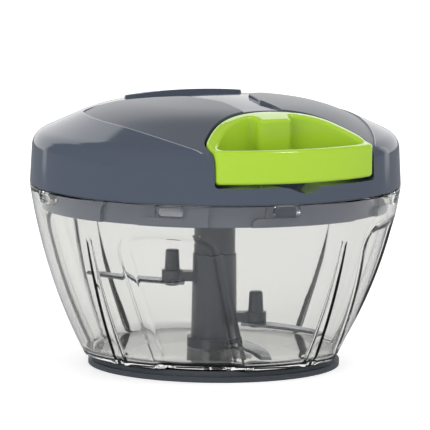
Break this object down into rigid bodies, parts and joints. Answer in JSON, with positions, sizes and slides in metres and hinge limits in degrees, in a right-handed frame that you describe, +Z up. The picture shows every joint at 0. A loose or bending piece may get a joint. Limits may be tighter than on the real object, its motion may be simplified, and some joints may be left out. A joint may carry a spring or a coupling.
{
  "type": "pull-string food chopper",
  "caption": "Hand-powered food chopper: clear bowl with a stacked blade unit under a domed dark lid, spun by pulling a green loop handle on a string.",
  "frame": {"origin": "centre of the base ring's underside, on the bowl's axis", "axes": "+Z up along the bowl's axis, -Y the way the handle pulls out, +X to the right as seen from the handle's side"},
  "size_m": [0.13, 0.13, 0.0948],
  "materials": {
    "ring_rubber": "matte",
    "bowl_clear": "gloss",
    "steel": "satin",
    "housing_plastic": "gloss",
    "base_plastic": "satin",
    "white_plastic": "satin",
    "screw_steel": "satin",
    "spring_steel": "satin",
    "string_cord": "matte",
    "inner_plastic": "satin",
    "hub_plastic": "satin",
    "shaft_plastic": "satin",
    "blade_steel": "satin",
    "handle_plastic": "gloss"
  },
  "bodies": {
    "base": {"base_ring": "ring_rubber", "bowl": "bowl_clear", "bowl_pin": "steel"},
    "lid": {"lid_housing": "housing_plastic", "lid_base": "base_plastic", "hub_bearing": "white_plastic", "lid_screws": "screw_steel", "string_eyelet": "steel", "spool_axle": "steel", "spool_washer": "screw_steel", "retaining_ring": "spring_steel", "string_lead": "string_cord"},
    "reel": {"spool": "inner_plastic", "spool_cover": "inner_plastic", "string_winding": "string_cord", "power_spring": "spring_steel", "drive_hub": "hub_plastic", "hub_screws": "screw_steel"},
    "blades": {"blade_shaft": "shaft_plastic", "upper_blade": "blade_steel", "middle_blade": "blade_steel", "lower_blade": "blade_steel", "blade_pegs": "shaft_plastic"},
    "handle": {"pull_handle": "handle_plastic", "string_stopper": "screw_steel", "string_pull": "string_cord"}
  },
  "joints": [
    {"name": "lid_turn", "type": "hinge", "parent": "base", "child": "lid", "pos_m": [0, 0, 0.0637], "axis": [0, 0, 1], "range_deg": [0, 18.4]},
    {"name": "handle_pull", "type": "slide", "parent": "lid", "child": "handle", "axis": [0, -1, 0], "range_m": [0, 0.3], "stiffness_N_per_m": 8, "springref_m": -0.3, "deforming": ["string_pull"]},
    {"name": "spool_spin", "type": "hinge", "parent": "lid", "child": "reel", "pos_m": [0, 0, 0.08], "axis": [0, 0, 1], "range_deg": [0, 960]},
    {"name": "blade_spin", "type": "hinge", "parent": "lid", "child": "blades", "pos_m": [0, 0, 0.02], "axis": [0, 0, 1], "range_deg": [0, 960]}
  ],
  "couplings": [
    {"joint": "spool_spin", "follows": "handle_pull", "rad_per_m": 55.556},
    {"joint": "blade_spin", "follows": "handle_pull", "rad_per_m": 55.556}
  ]
}
